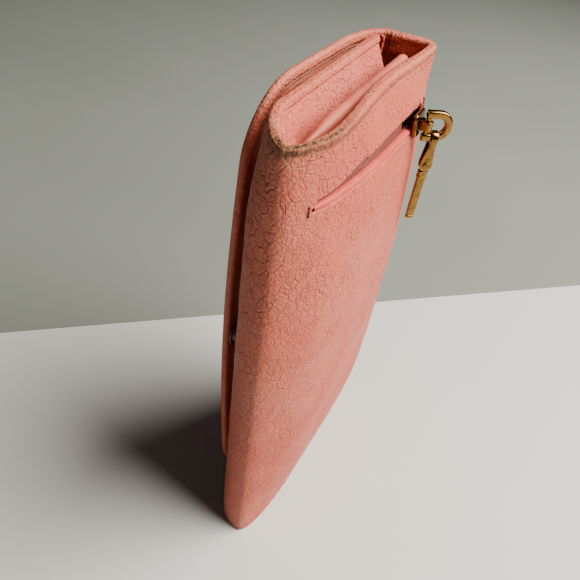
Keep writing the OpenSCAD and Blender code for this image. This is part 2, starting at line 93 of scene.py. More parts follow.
def reach(s):
    """How much of the swell is reached at a distance from the bottom fold."""
    f = s / W
    rising = np.sin(np.pi / 2 * unit(f / 0.46))
    falling = np.cos(np.radians(300 * (f - 0.765)))
    return np.where(f < 0.46, rising, np.where(f < 0.765, 1.0, falling))


def wave(s, z):
    """Wave of the back panel near its upper end."""
    return RIM_WAVE * np.cos(2 * np.pi * (s - 0.18 * W) / (0.77 * W)) * unit(1 - (H - z) / 12)


def panel_y(s, z):
    """Back panel's outer face before its corner."""
    return BACK_Y0 + wave(s, z) + BACK_SWELL * swell(z) * reach(s)


def front_y(s, z):
    return FRONT_Y0 - FRONT_SWELL * swell(z) * reach(s)


def nose_len(back, z):
    """How far the rounding of the bottom fold runs along the back or the front."""
    f = z / H
    front = 11.5 + 3 * f + 6.5 * unit((f - 0.84) / 0.16) ** 2
    return np.where(back, 18 + 14 * (1 - f) ** 2, front)


def nose_power(back, z):
    return np.where(back, 2.0, 2 - 0.6 * unit((z / H - 0.84) / 0.16))


def nose_curve(t, p):
    return (1 - (1 - unit(t)) ** p) ** (1 / p)


def body_at(u, z):
    """Outer face. From the bottom fold, u is below 0 on the front, and above 0 on the back and the spine."""
    back = u > 0
    n = nose_len(back, z)
    run = np.abs(u)
    s = np.where(run < n, n * (1 - np.cos(np.pi / 2 * unit(run / n))), run)
    turn = (s - (W - CORNER_R)) / CORNER_R                    # radians round the corner
    angle = np.where(back, np.clip(turn, 0, np.pi / 2), 0)
    s = np.where(angle > 0, W - CORNER_R + CORNER_R * np.sin(angle), s)
    y = np.where(back, panel_y(s, z), front_y(s, z))
    y = FOLD_Y + (y - FOLD_Y) * nose_curve(s / n, nose_power(back, z))
    full = 1 - (1 - np.cos(angle)) ** 1.25
    y = y - CORNER_R * (1 - full)
    down = np.where(back, CORNER_R * np.maximum(turn - np.pi / 2, 0), 0)
    return W / 2 - s, y - down - MID_Y


def below(face, u, z, depth):
    """Points at a depth under a face, which is a function of u and z."""
    near = 0.2
    x, y = face(u, z)
    x1, y1 = face(u + near, z)
    x0, y0 = face(u - near, z)
    dx, dy = x1 - x0, y1 - y0
    size = np.hypot(dx, dy)
    return np.stack([x - depth * dy / size, y + depth * dx / size, z + 0 * x], -1)


def skin(u, z, depth):
    """Points at a depth under the body's outer face."""
    return below(body_at, u, z, depth)


def turn_of(s, z):
    """Distance along the face, from the distance from the bottom fold."""
    n = nose_len(s > 0, z)
    d = np.abs(s)
    return np.sign(s) * np.where(d < n, n * np.arccos(np.clip(1 - d / n, -1, 1)) / (np.pi / 2), d)


SLIT_U0 = float(turn_of(SLIT_START, SLIT_MID))


def sink(u, z):
    """How far the slit, the zip and the pocket sink towards the spine."""
    across = np.minimum((u - SLIT_U0) / (SLIT_END - SLIT_U0), (W - 1.5 - u) / (W - 1.5 - SLIT_END))
    over = (H - HEM_H - z) / (H - HEM_H - POCKET_TOP)
    under = (z - POCKET_FOOT) / (SLIT_MID - 18 - POCKET_FOOT)
    return SLIT_SINK * unit(across) * unit(np.minimum(over, under))


def slit_low(u):
    """Height of the slit's lower lip."""
    return SLIT_LO - sink(u, SLIT_MID)


def slit_part(u):
    """From 0 at the slit's ends to 1 along it."""
    return unit((u - SLIT_U0) / 1.6) * unit((SLIT_END - u) / 1.6)


def slit_gape(u):
    """Opening of the slit, which is a lens, widest near the slider."""
    wrinkle = 0.20 * np.sin(u / 2.3) * np.sin(u / 5.1 + 1) + 0.12 * np.sin(u / 1.1 + 2)
    wide = 2.6 + 3.0 * unit((u - 12) / 18) + 1.4 * smooth((u - 30) / 40)
    wide = wide + wrinkle * smooth((u - 16) / 20)
    return 0.25 + np.sqrt(slit_part(u)) * wide


# ---- the flap, with its root on the spine, its bend, its free edge and its corners ----
FLAP_ROOT, FLAP_BEND = -4.0, 26.0
BEND_LEN = 31.0               # about the bend's own length
FLAP_EDGE, FLAP_CORNER = 20.0, 22.0


def flap_flat(s, z):
    """The flap past its bend, leaning away from the front and bowed along its length."""
    lean = 1.4 * unit((0.78 * W - s) / 56)
    bow = 4.2 * np.sin(np.pi * z / H) * (W - s) / (0.8 * W)
    return -15.6 - lean - bow


def flap_at(u, z):
    """Flap's outer face, u along it from the seam on the spine."""
    wall = SEAM_Y + MID_Y - FLAP_ROOT                         # straight part of the spine
    past = u - wall - BEND_LEN
    a = np.pi / 2 * unit((u - wall) / BEND_LEN)
    s = np.where(past < 0, W - FLAP_BEND * (1 - np.cos(a)), W - FLAP_BEND - past)
    bent = FLAP_ROOT + (flap_flat(s, z) - FLAP_ROOT) * np.sin(a)
    y = np.where(u < wall, SEAM_Y + MID_Y - u, bent)
    return W / 2 - s, y - MID_Y


def flap_skin(u, z, depth):
    """Points at a depth under the flap's outer face."""
    return below(flap_at, u, z, depth)


def flap_u(s):
    """Distance along the flap's face on its flat part, from the distance from the bottom fold."""
    return SEAM_Y + MID_Y - FLAP_ROOT + BEND_LEN + (W - FLAP_BEND - s)


# ---- mesh building ----
class Shell:
    """Vertices and faces gathered from grids of points."""

    def __init__(self):
        self.points, self.faces, self.marks, self.count = [], [], {}, 0

    def add(self, grid, **marks):
        """Adds points of shape (..., 3), with mesh attributes, and returns their numbers in that shape."""
        flat = grid.reshape(-1, 3)
        ids = np.arange(self.count, self.count + len(flat)).reshape(grid.shape[:-1])
        self.points.append(flat)
        for mark, values in marks.items():
            self.marks.setdefault(mark, []).append(np.broadcast_to(values, ids.shape).reshape(-1))
        self.count += len(flat)
        return ids

    def quads(self, ids, keep=None, flip=False):
        """Faces between neighbours in a grid of numbers, all of them or those to keep."""
        a, b, c, d = ids[:-1, :-1], ids[1:, :-1], ids[1:, 1:], ids[:-1, 1:]
        cells = np.stack([a, d, c, b] if flip else [a, b, c, d], -1)
        cells = cells[keep] if keep is not None else cells.reshape(-1, 4)
        self.faces.append(cells)

    def build(self, name, material, body=None, sharp=50):
        """The mesh object, riding a body if one is named."""
        mesh = bpy.data.meshes.new(name)
        faces = [face for cells in self.faces for face in cells.tolist()]
        mesh.from_pydata((np.concatenate(self.points) * MM).tolist(), [], faces)
        for mark, values in self.marks.items():
            data = mesh.attributes.new(mark, "FLOAT", "POINT").data
            data.foreach_set("value", np.concatenate(values).astype(np.float32))
        mesh.validate()
        mesh.materials.append(material)
        mesh.shade_smooth()
        mesh.set_sharp_from_angle(angle=math.radians(sharp))
        obj = bpy.data.objects.new(name, mesh)
        bpy.context.scene.collection.objects.link(obj)
        if body:
            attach(obj, body)
        return obj


# ---- relief ----
def field(points, size, seed):
    """Soft noise from about -1 to 1 at points in mm."""
    shift = Vector((seed * 37.1, seed * 11.7, seed * 5.3))
    flat = points.reshape(-1, 3) / size
    out = [noise.fractal(Vector(p) + shift, 0.9, 2.1, 2) for p in flat.tolist()]
    return np.array(out).reshape(points.shape[:-1])


def creases(points, size, seed):
    """From 0 on a crease to 1 inside a cell of that size."""
    shift = Vector((seed * 17.3, seed * 7.9, seed * 29.3))
    flat = points.reshape(-1, 3) / size
    out = []
    for p in flat.tolist():
        d = noise.voronoi(Vector(p) + shift)[0]
        out.append(d[1] - d[0])
    return unit(np.array(out).reshape(points.shape[:-1]) / 0.35)


# ---- materials ----
class Nodes:
    """A short way to write a material's node tree."""

    def __init__(self, name):
        self.material = bpy.data.materials.new(name)
        self.material.use_nodes = True
        self.tree = self.material.node_tree
        self.shader = self.tree.nodes["Principled BSDF"]

    def put(self, kind, inputs=None, out=0, **settings):
        """Adds a node with these inputs and settings, and returns one of its outputs."""
        node = self.tree.nodes.new(kind)
        for key, value in settings.items():
            setattr(node, key, value)
        for key, value in (inputs or {}).items():
            self.feed(node.inputs[key], value)
        return node.outputs[out]

    def feed(self, socket, value):
        if isinstance(value, bpy.types.NodeSocket):
            self.tree.links.new(value, socket)
        else:
            socket.default_value = value

    def math(self, operation, a, b, clamp=False):
        return self.put("ShaderNodeMath", {0: a, 1: b}, operation=operation, use_clamp=clamp)

    def times(self, a, b, clamp=False):
        return self.math("MULTIPLY", a, b, clamp)

    def plus(self, a, b, clamp=False):
        return self.math("ADD", a, b, clamp)

    def mix(self, factor, a, b):
        return self.put("ShaderNodeMix", {"Factor": factor, 6: a, 7: b}, out=2, data_type="RGBA")

    def ramp(self, value, low, high, out_low=0.0, out_high=1.0):
        """Eases from out_low to out_high while the value goes from low to high."""
        return self.put("ShaderNodeMapRange", {0: value, 1: low, 2: high, 3: out_low, 4: out_high},
                        interpolation_type="SMOOTHSTEP")

    def noise(self, where, scale, detail=2.0, rough=0.5):
        return self.put("ShaderNodeTexNoise",
                        {"Vector": where, "Scale": scale, "Detail": detail, "Roughness": rough})

    def cells(self, where, scale, feature="F1"):
        return self.put("ShaderNodeTexVoronoi", {"Vector": where, "Scale": scale}, feature=feature)

    def mark(self, name):
        """The value of a mesh attribute."""
        return self.put("ShaderNodeAttribute", out=2, attribute_name=name)

    def surface(self, **values):
        for key, value in values.items():
            self.feed(self.shader.inputs[key.replace("_", " ")], value)
        return self.material


DEPTH = 0.70          # all tones are taken this much deeper, and the key light is that much stronger


def rgb(red, green, blue):
    """Linear colour from display values of 0 to 255."""
    def linear(v):
        v = v / 255
        return v / 12.92 if v <= 0.04045 else ((v + 0.055) / 1.055) ** 2.4
    return (DEPTH * linear(red), DEPTH * linear(green), DEPTH * linear(blue), 1.0)


def warped(n, amount=0.0006, scale=300.0):
    """Object coordinates, pushed about a little so that cells look grown, not drawn."""
    where = n.put("ShaderNodeTexCoord", out=3)
    push = n.put("ShaderNodeTexNoise", {"Vector": where, "Scale": scale, "Detail": 1.0}, out=1)
    push = n.put("ShaderNodeVectorMath", {0: push, 1: (0.5, 0.5, 0.5)}, operation="SUBTRACT")
    push = n.put("ShaderNodeVectorMath", {0: push, 3: amount}, operation="SCALE")
    return where, n.put("ShaderNodeVectorMath", {0: where, 1: push}, operation="ADD")


def pebbled_leather(name, tone, shade, glow, pebble=1.0, cell=3.2, relief=1.0, rough=0.5, worn=False):
    """Grained hide: small pebbles inside a net of creases, with painted shade in the creases and round the
    pebbles' edges, so the pebble tops look paler.
    """
    n = Nodes(name)
    where, grown = warped(n, 0.0011, 260.0)
    small = n.ramp(n.cells(grown, 1000 / pebble), 0.0, 0.75, 1.0, 0.0)
    long = n.put("ShaderNodeMapping",
                 {"Vector": grown, "Rotation": (0.5, 0.35, 0.0), "Scale": (1.0, 1.0, 0.78)})
    net = n.ramp(n.cells(long, 1000 / cell, "DISTANCE_TO_EDGE"), 0.0, 0.07)
    if worn:
        net = n.math("MAXIMUM", net, n.times(n.mark("band"), 0.9))
    # creases fade in and out over the hide
    patch = n.ramp(n.noise(where, 70, 3), 0.40, 0.62)
    net = n.math("MAXIMUM", net, n.times(patch, 0.6))
    fine = n.noise(where, 2600, 3, 0.6)
    folds = n.noise(grown, 520, 3, 0.6)
    height = n.times(small, 0.42)
    for layer, weight in ((net, 0.75), (folds, 0.22), (fine, 0.12)):
        height = n.plus(height, n.times(layer, weight))
    pale = n.mix(n.ramp(n.noise(where, 26, 3), 0.35, 0.68), tone, glow)
    # painted shade: the shade colour darkens the crease lines and the pebbles' edges
    hue = n.mix(n.ramp(net, 0.0, 1.0, 0.24, 0.0), pale, shade)
    hue = n.mix(n.ramp(small, 0.1, 0.75, 0.34, 0.0), hue, shade)
    matt = n.ramp(n.noise(where, 90, 3), 0.3, 0.7, rough - 0.07, rough + 0.09)
    if worn:
        hue, matt, height = add_wear(n, where, grown, hue, matt, height)
    normal = n.put("ShaderNodeBump", {"Strength": 0.9, "Distance": 0.00044 * relief, "Height": height})
    return n.surface(Base_Color=hue, Roughness=matt, Normal=normal, Specular_IOR_Level=0.34)


def add_wear(n, where, grown, hue, matt, height):
    """Pleats with painted shade in their cracks, the groove along the rim with painted shade in it, rubbed
    leather and grime. Each has its own mesh attribute.
    """
    along = n.mark("along")
    band = n.mark("band")
    strip = n.put("ShaderNodeCombineXYZ", {0: along, 1: n.times(n.mark("across"), 0.22), 2: 0.0})
    pleat = n.noise(strip, 1.25, 2, 0.6)
    crack = n.times(n.ramp(pleat, 0.36, 0.48, 1.0, 0.0), band)
    height = n.plus(height, n.times(n.times(pleat, band), 2.0))
    # painted shade in the pleats' cracks
    hue = n.mix(n.times(crack, 0.45), hue, rgb(136, 66, 50))
    line = n.mark("line")
    # painted shade in the groove along the rim and in the lines on the flap's hem
    hue = n.mix(n.times(line, 0.80), hue, rgb(92, 38, 28))
    height = n.math("SUBTRACT", height, n.times(line, 1.1))
    rub = n.times(n.mark("rub"), n.ramp(n.noise(where, 220, 4, 0.6), 0.3, 0.62))
    hue = n.mix(n.times(rub, 0.5), hue, rgb(236, 160, 124))
    speck = n.ramp(n.noise(grown, 700, 4, 0.7), 0.40, 0.60)
    blot = n.ramp(n.noise(where, 330, 4, 0.65), 0.22, 0.50)
    grime = n.times(n.mark("grime"), blot, clamp=True)
    brown = n.mix(speck, rgb(66, 36, 10), rgb(158, 106, 52))
    hue = n.mix(grime, hue, brown)
    height = n.math("SUBTRACT", height, n.times(grime, 0.7))
    matt = n.plus(matt, n.times(grime, 0.2), clamp=True)
    return hue, matt, height


def smooth_leather(name, tone, shade, rough=0.42, relief=1.0):
    """Fine-grained calf: hair cells, soft mottling and light handling marks."""
    n = Nodes(name)
    where, grown = warped(n, 0.0003, 700)
    pores = n.ramp(n.cells(grown, 2600), 0.1, 0.6)
    folds = n.noise(grown, 500, 4, 0.6)
    height = n.plus(n.times(pores, 0.35), n.times(folds, 0.7))
    mottle = n.ramp(n.noise(where, 120, 4, 0.6), 0.3, 0.7)
    hue = n.mix(mottle, tone, shade)
    # painted shade: the shade colour darkens the hollows of the hair pores
    hue = n.mix(n.ramp(pores, 0.0, 1.0, 0.22, 0.0), hue, shade)
    matt = n.ramp(n.noise(where, 160, 3), 0.3, 0.7, rough - 0.05, rough + 0.08)
    normal = n.put("ShaderNodeBump", {"Strength": 0.6, "Distance": 0.00016 * relief, "Height": height})
    return n.surface(Base_Color=hue, Roughness=matt, Normal=normal, Specular_IOR_Level=0.45)


def woven(name, tone, shade, pitch=0.5):
    """Plain weave of threads at that pitch in mm."""
    n = Nodes(name)
    where, grown = warped(n, 0.00008, 900)
    inputs = {"Vector": grown, "Scale": 500 / pitch / math.pi, "Distortion": 0.6, "Detail": 1.0}
    across, along = (n.put("ShaderNodeTexWave", inputs, out=1, bands_direction=axis) for axis in "XZ")
    height = n.times(across, along)
    # painted shade: the weave's hollows take the shade colour, the crossing threads the tone
    hue = n.mix(height, shade, tone)
    hue = n.mix(n.ramp(n.noise(where, 140, 3), 0.3, 0.7, 0.0, 0.35), hue, shade)
    normal = n.put("ShaderNodeBump", {"Strength": 0.7, "Distance": 0.00012, "Height": height})
    return n.surface(Base_Color=hue, Roughness=n.ramp(height, 0, 1, 0.9, 0.75), Normal=normal)


def thread_material(name, tone, shade):
    """Twisted waxed thread."""
    n = Nodes(name)
    grown = warped(n, 0.0001, 900)[1]
    twist = n.noise(grown, 3800, 2)
    # painted shade: the grooves between the twists take the shade colour
    hue = n.mix(n.ramp(twist, 0.35, 0.65), shade, tone)
    normal = n.put("ShaderNodeBump", {"Strength": 0.6, "Distance": 0.00008, "Height": twist})
    return n.surface(Base_Color=hue, Roughness=n.ramp(twist, 0.3, 0.7, 0.62, 0.48), Normal=normal)


def plated(name, tone, deep):
    """Gold plate with hairline scratches and slight tarnish."""
    n = Nodes(name)
    where, grown = warped(n, 0.0004, 500)
    lines = n.put("ShaderNodeMapping",
                  {"Vector": grown, "Scale": (9000, 9000, 900), "Rotation": (0.5, 0.3, 0.2)})
    scratch = n.noise(lines, 1.0, 2)
    cloud = n.ramp(n.noise(where, 350, 3, 0.6), 0.35, 0.7)
    hue = n.mix(n.times(cloud, 0.6), tone, deep)
    matt = n.plus(n.times(cloud, 0.10), n.ramp(scratch, 0.35, 0.75, 0.05, 0.16))
    normal = n.put("ShaderNodeBump", {"Strength": 0.12, "Distance": 0.00004, "Height": scratch})
    return n.surface(Base_Color=hue, Metallic=1.0, Roughness=matt, Normal=normal)


HIDE = pebbled_leather("hide", rgb(236, 108, 80), rgb(176, 66, 48), rgb(240, 127, 98), worn=True)
GUSSET = pebbled_leather("gusset_leather", rgb(236, 116, 92), rgb(176, 66, 50), rgb(242, 132, 108),
                         pebble=0.9, cell=2.1, relief=0.9)
# paler, less saturated leather: painted light that lifts the spine lining, which lies in shade
INSIDE = pebbled_leather("spine_inside", rgb(242, 150, 130), rgb(196, 96, 78), rgb(246, 162, 142),
                         pebble=0.9, cell=2.1)
# darker grained leather: painted shade for the facing under the slit's upper lip
FACING_SHADED = pebbled_leather("facing_leather_painted_shade", rgb(146, 64, 50), rgb(96, 38, 30), rgb(164, 78, 62),
                         pebble=0.8, cell=2.0)
SMOOTH = smooth_leather("smooth_leather", rgb(240, 126, 100), rgb(228, 108, 84))
WELT = smooth_leather("welt_leather", rgb(230, 84, 70), rgb(214, 70, 58), rough=0.55)
TAPE = woven("zip_tape", rgb(190, 84, 70), rgb(140, 56, 46))
# dark pocket cloth: painted shade for the dim inside of the zip pocket
SHADED_CLOTH = woven("pocket_cloth", rgb(96, 44, 36), rgb(64, 28, 22), pitch=0.4)
THREAD = thread_material("thread", rgb(226, 120, 96), rgb(176, 72, 56))
# darker thread: painted shade on the slit's bar tacks
THREAD_SHADED = thread_material("thread_painted_shade", rgb(140, 72, 56), rgb(86, 38, 30))
COIL = thread_material("coil", rgb(176, 82, 68), rgb(126, 50, 42))
GOLD = plated("gold", rgb(176, 134, 70), rgb(88, 62, 30))
RESIN = smooth_leather("snap_resin", rgb(120, 60, 54), rgb(104, 50, 44), rough=0.4, relief=0.4)


# ---- generic solids ----
def slab(name, front, back, material, body):
    """Closed solid between two equal grids of points."""
    shell = Shell()
    a, b = shell.add(front), shell.add(back)
    shell.quads(a)
    shell.quads(b, flip=True)
    edges = [np.concatenate([g[:, 0], g[-1, 1:], g[::-1, -1][1:], g[0, ::-1][1:]]) for g in (b, a)]
    shell.quads(np.stack(edges))
    return shell.build(name, material, body)


def ring_solid(name, rings, material, body, sharp=50):
    """Closed solid through rings of points: stations by points round the ring."""
    shell = Shell()
    ids = shell.add(rings)
    shell.quads(np.concatenate([ids, ids[:, :1]], 1))
    for ring in (ids[0], ids[-1][::-1]):
        shell.faces.append(ring[None, :])
    return shell.build(name, material, body, sharp)


def tube_rings(path, radius, sides=10):
    """Rings round a line of points."""
    path = np.asarray(path, float)
    ahead = np.gradient(path, axis=0)
    ahead /= np.linalg.norm(ahead, axis=1)[:, None]
    side = np.cross(ahead, (0.0, 0.0, 1.0))
    weak = np.linalg.norm(side, axis=1) < 0.2
    side[weak] = np.cross(ahead[weak], (0.0, 1.0, 0.0))
    side /= np.linalg.norm(side, axis=1)[:, None]
    up = np.cross(side, ahead)
    a = np.linspace(0, 2 * np.pi, sides, endpoint=False)
    radius = np.broadcast_to(radius, len(path))[:, None, None]
    return path[:, None] + radius * (np.cos(a)[None, :, None] * side[:, None]
                                     + np.sin(a)[None, :, None] * up[:, None])


THREAD_R, TACK_R = 0.26, 0.42
SLIT_PITCH, SLIT_STITCH = 2.5, 1.75      # spacing and length of the stitches along the slit
RUN_PITCH, RUN_STITCH = 2.9, 1.95        # the same for the runs beside the short ends
RUN_IN = 3.4                             # distance of these runs from the ends


def thread_run(name, starts, ends, outs, body, radius=THREAD_R, material=THREAD):
    """Row of stitches from starts to ends, bulging along outs, as one mesh."""
    shell = Shell()
    t = np.linspace(0, 1, 7)
    profile = np.sqrt(np.maximum(1 - (2 * t - 1) ** 4, 0)) * 0.9 + 0.1
    rise = np.sin(np.pi * t) * 0.8 - 0.35
    for a, b, out in zip(starts, ends, outs):
        path = a + (b - a) * t[:, None] + out * (radius * rise)[:, None]
        rings = tube_rings(path, radius * profile, 8)
        ids = shell.add(rings)
        shell.quads(np.concatenate([ids, ids[:, :1]], 1))
        shell.faces += [ids[0][None, :], ids[-1][::-1][None, :]]
    return shell.build(name, material, body, 80)


def stitch_line(name, place, start, end, pitch, length, body, seed):
    """Stitches along place(t), which gives a point, from t = start to t = end in mm."""
    rng = np.random.default_rng(seed)
    count = max(1, int(abs(end - start) / pitch))
    at = start + (np.arange(count) + 0.5) * (end - start) / count
    at = at + rng.uniform(-0.1, 0.1, count)
    half = 0.5 * length * (1 if end > start else -1)
    return thread_run(name, place(at - half)[0], place(at + half)[0], place(at)[1], body)


# ---- the hide: sheets wrapped over their rims ----
SKIN_T = 0.75                 # thickness of the wrapped skin
OUTER_R, INNER_R = 0.9, 1.2   # rounding of the rims' two edges
FLAP_R = 1.3                  # rounding of the flap's edge
SPINE_HEM = 1.3               # how much thicker the rim is on the spine
QUARTER = np.linspace(0, np.pi / 2, 5)


def hem_at(u):
    """Thickness of the turned rim, slimmer round the bottom fold and fuller on the spine."""
    return HEM_T - 1.0 * np.exp(-(u / 6) ** 2) + SPINE_HEM * smooth((u - W + CORNER_R) / 12)


def near_seam(u):
    """From 0 on the back panel to 1 at the seam, where the back hide meets the flap's."""
    return smooth((u - W - 3) / 6.5)


def end_rows(hem, soft=0.0):
    """(distance from the end, depth) from the turned hem's foot, over the rim, to the outer face.

    The rim is crisp where soft is 0, and half-round like the flap's where it is 1.
    """
    foot = [(h + 0 * hem, hem) for h in np.linspace(HEM_H, INNER_R, 7)[:-1]]
    inner = [(INNER_R * (1 - np.sin(b)) + 0 * hem, hem - INNER_R * (1 - np.cos(b))) for b in QUARTER]
    crown = [(0 * hem, (hem - INNER_R) * (1 - k) + OUTER_R * k) for k in (0.25, 0.5, 0.75)]
    outer = [(OUTER_R * (1 - np.cos(b)) + 0 * hem, OUTER_R * (1 - np.sin(b)) + 0 * hem) for b in QUARTER]
    rim = []
    for (h, d), a in zip(inner + crown + outer, np.linspace(np.pi, 0, 13)):
        round_h, round_d = FLAP_R * (1 - np.sin(a)), hem * (0.5 - 0.5 * np.cos(a))
        rim.append((h + (round_h - h) * soft, d + (round_d - d) * soft))
    return foot + rim


def relief(points):
    """Swells and creases of the hide, in mm, as a function of place so that joined pieces agree."""
    push = np.stack([field(points, 5, 11), field(points, 5, 12), field(points, 5, 13)], -1)
    patch = smooth(field(points, 30, 14) * 1.4 + 0.55)
    out = 0.26 * field(points, 24, 1) + 0.13 * field(points, 7.5, 2)
    return out - 0.035 * patch * (1 - creases(points + 1.3 * push, 4.4, 3))


def apply_modifiers(obj):
    """Replaces an object's mesh by what its modifiers make of it."""
    graph = bpy.context.evaluated_depsgraph_get()
    mesh = bpy.data.meshes.new_from_object(obj.evaluated_get(graph))
    obj.modifiers.clear()
    old, obj.data = obj.data, mesh
    bpy.data.meshes.remove(old)
    return mesh


def thicken(obj):
    """Gives an open sheet its thickness on the inner side, kept between the wallet's two ends."""
    mod = obj.modifiers.new("thickness", "SOLIDIFY")
    mod.thickness, mod.offset = SKIN_T * MM, -1
    for vertex in apply_modifiers(obj).vertices:
        vertex.co.z = min(max(vertex.co.z, 0.0), H * MM)
    return obj


def back_u(z):
    """Columns of the back hide, from the split in front of the bottom fold to the seam on the spine."""
    corner_end = W - CORNER_R + CORNER_R * np.pi / 2
    front = np.linspace(1, 0, 21)[:-1] * turn_of(-SPLIT_S, z)
    panel = np.linspace(0, W - CORNER_R, 128) + 0 * z
    corner = W - CORNER_R + CORNER_R * np.linspace(0, np.pi / 2, 17)[1:] + 0 * z
    low = body_at(corner_end + 0 * z, z)[1] - SEAM_Y
    return np.concatenate([front, panel, corner, corner_end + np.linspace(0, 1, 15)[1:] * low], -1)


def lip(u, away):
    """Depth of the rounded lip at a distance from the slit's edge."""
    r = 0.8
    inside = np.maximum(r - away, 0)
    return slit_part(u) * (r - np.sqrt(r * r - inside * inside))


LIP_ROWS = (0.0, 0.1, 0.25, 0.45, 0.7, 1.0, 1.5, 2.1)     # rows beside the slit, by distance
RIM, TUCK, FACE = -1, 0, 1                                # kinds of row: on the rim, in the slit, outside


def back_rows(u):
    """Heights, depths and kinds of the back hide's rows, from the top down, and the row above the hole."""
    heights, depths, kinds = [], [], []

    def row(z, d, kind):
        heights.append(z + 0 * u)
        depths.append(d + 0 * u)
        kinds.append(kind)

    ends = end_rows(hem_at(u), near_seam(u))
    edge = ends[-1][0]
    low, tuck, last = slit_low(u), slit_part(u), LIP_ROWS[-1]
    high = low + slit_gape(u)
    for h, d in ends:
        row(H - h, d, RIM)
    for k in np.linspace(1, 0, 18)[1:-1]:
        row(high + last + (H - edge - high - last) * k, 0, FACE)
    for away in LIP_ROWS[::-1]:
        row(high + away, lip(u, away), FACE)
    # the leather tucks in behind both lips; beside the slit these rows only come close together
    row(high + 0.09 * tuck - 0.04, 1.15 * tuck, TUCK)
    row(high + 0.43 * tuck - 0.08, 1.6 * tuck, TUCK)
    above_hole = len(kinds) - 1
    row(low - 0.43 * tuck + 0.08, 1.6 * tuck, TUCK)
    row(low - 0.09 * tuck + 0.04, 1.15 * tuck, TUCK)
    for away in LIP_ROWS:
        row(low - away, lip(u, away), FACE)
    for k in np.linspace(0, 1, 200)[1:-1]:
        row((low - last) * (1 - k) + edge * k, 0, FACE)
    for h, d in ends[::-1]:
        row(h, d, RIM)
    return np.array(heights), np.array(depths), np.array(kinds)[:, None], above_hole


def back_hide():
    """Back panel with the bottom fold, the slit's hole and the upper half of the spine."""
    columns = back_u(np.array([[H / 2]]))[0]
    z, d, kind, above_hole = back_rows(columns)
    soft = near_seam(columns)
    u = back_u(z[:, 100:101])
    base = skin(u, z, 0 * z)
    h = np.minimum(H - z, z)
    share = np.where(kind == FACE, 1.0, np.where(kind == TUCK, 1 - 0.7 * slit_part(columns), 0.0))
    bumps = relief(base) * share * smooth(h / 4)
    lump = 0.10 * field(base, 2.6, 8) * unit(1 - h / 3.4) * (1 - soft)
    groove = np.exp(-((h - 2.2 + 0.3 * soft) / 0.32) ** 2) * (kind == FACE)
    points = skin(u, z, d - bumps - lump + (0.28 - 0.08 * soft) * groove)
    shell = Shell()
    ids = shell.add(points, **hide_marks(u, z, d, kind, groove))
    keep = np.ones((len(z) - 1, len(columns) - 1), bool)
    keep[above_hole] = (columns[:-1] < SLIT_U0 - 0.01) | (columns[1:] > SLIT_END + 0.01)
    shell.quads(ids, keep)
    return thicken(shell.build("hide_back", HIDE, None, 60))


def hide_marks(u, z, d, kind, groove):
    """Mesh attributes that place wear, grime and the rims' pleats on the hide."""
    h_top = H - z
    h = np.minimum(h_top, z)
    inside = (kind == RIM) & (d > OUTER_R + 0.2)
    from_rim = np.where((kind == RIM) & ~inside, 0, h)
    band = unit(1.25 - from_rim / 2.4)
    near_nose = np.exp(-(np.maximum(u - 5, 0) / 20) ** 2) * np.exp(-(np.minimum(u + 5, 0) / 5) ** 2)
    edge = np.exp(-((h_top + 0.9 - d) / 1.15) ** 2)
    grime = 1.3 * near_nose * np.maximum(edge, 0.75 * np.exp(-((h_top - 1.2) / 1.3) ** 2))
    patch = np.exp(-((u - 1) / 7) ** 2) * np.exp(-((h_top - 3) / 7) ** 2)
    rub = unit(0.9 * patch + 0.5 * edge * unit(1 - np.abs(u - 10) / 60)
               + 0.35 * np.exp(-(h / 2) ** 2) + 0.4 * np.exp(-(u / 3) ** 2))
    return {"along": u, "across": d + np.where(inside, h, -from_rim), "band": band, "line": groove * 0.8,
            "grime": grime, "rub": rub}


def front_hide():
    """Front panel, from the split by the bottom fold to its rolled edge at the mouth."""
    roll = [(OUTER_R * np.sin(b), OUTER_R * (1 - np.cos(b))) for b in QUARTER[1:]]
    roll += [(OUTER_R, 1.2), (OUTER_R, 1.6), (OUTER_R - 0.2, 2.0), (OUTER_R - 0.7, 2.3), (0.0, 2.4)]
    past, roll_d = np.array(roll).T
    share = np.linspace(0, 1, 92)
    mouth = OUTER_R - MOUTH_S

    def columns(z):
        start = turn_of(-SPLIT_S, z)
        return np.concatenate([start + share * (mouth - start), mouth - past + 0 * z], 1)

    middle = columns(np.array([[H / 2]]))[0]
    ends = end_rows(hem_at(middle))
    tall = np.linspace(H - OUTER_R, OUTER_R, 222)[1:-1]
    z = np.array([H - h for h, _ in ends] + [one + 0 * middle for one in tall] + [h for h, _ in ends[::-1]])
    d = np.array([d for _, d in ends] + [0 * middle for _ in tall] + [d for _, d in ends[::-1]])
    kind = np.array([RIM] * len(ends) + [FACE] * len(tall) + [RIM] * len(ends))[:, None]
    u = columns(z[:, :1])
    h = np.minimum(H - z, z)
    mouth_d = np.concatenate([0 * share, roll_d])
    base = skin(u, z, 0 * z)
    bumps = relief(base) * (kind == FACE) * smooth(h / 4) * unit(1 - mouth_d)
    lump = 0.12 * field(base, 2.2, 9) * unit(1 - h / 3.4)
    groove = np.exp(-((h - 2.4) / 0.32) ** 2) * (kind == FACE)
    depth = d + mouth_d * (1 - 0.75 * d / HEM_T)
    points = skin(u, z, depth - bumps - lump + 0.25 * groove)
    marks = hide_marks(u - 200, z, d, kind, groove)         # far from the bottom fold's wear
    marks["along"] = u
    shell = Shell()
    shell.quads(shell.add(points, **marks), flip=True)
    return thicken(shell.build("hide_front", HIDE, None, 60))


def outline(grid):
    """A grid's values along its two long sides and the free short side between them."""
    return np.concatenate([grid[0], grid[1:, -1], grid[-1, ::-1][1:]])


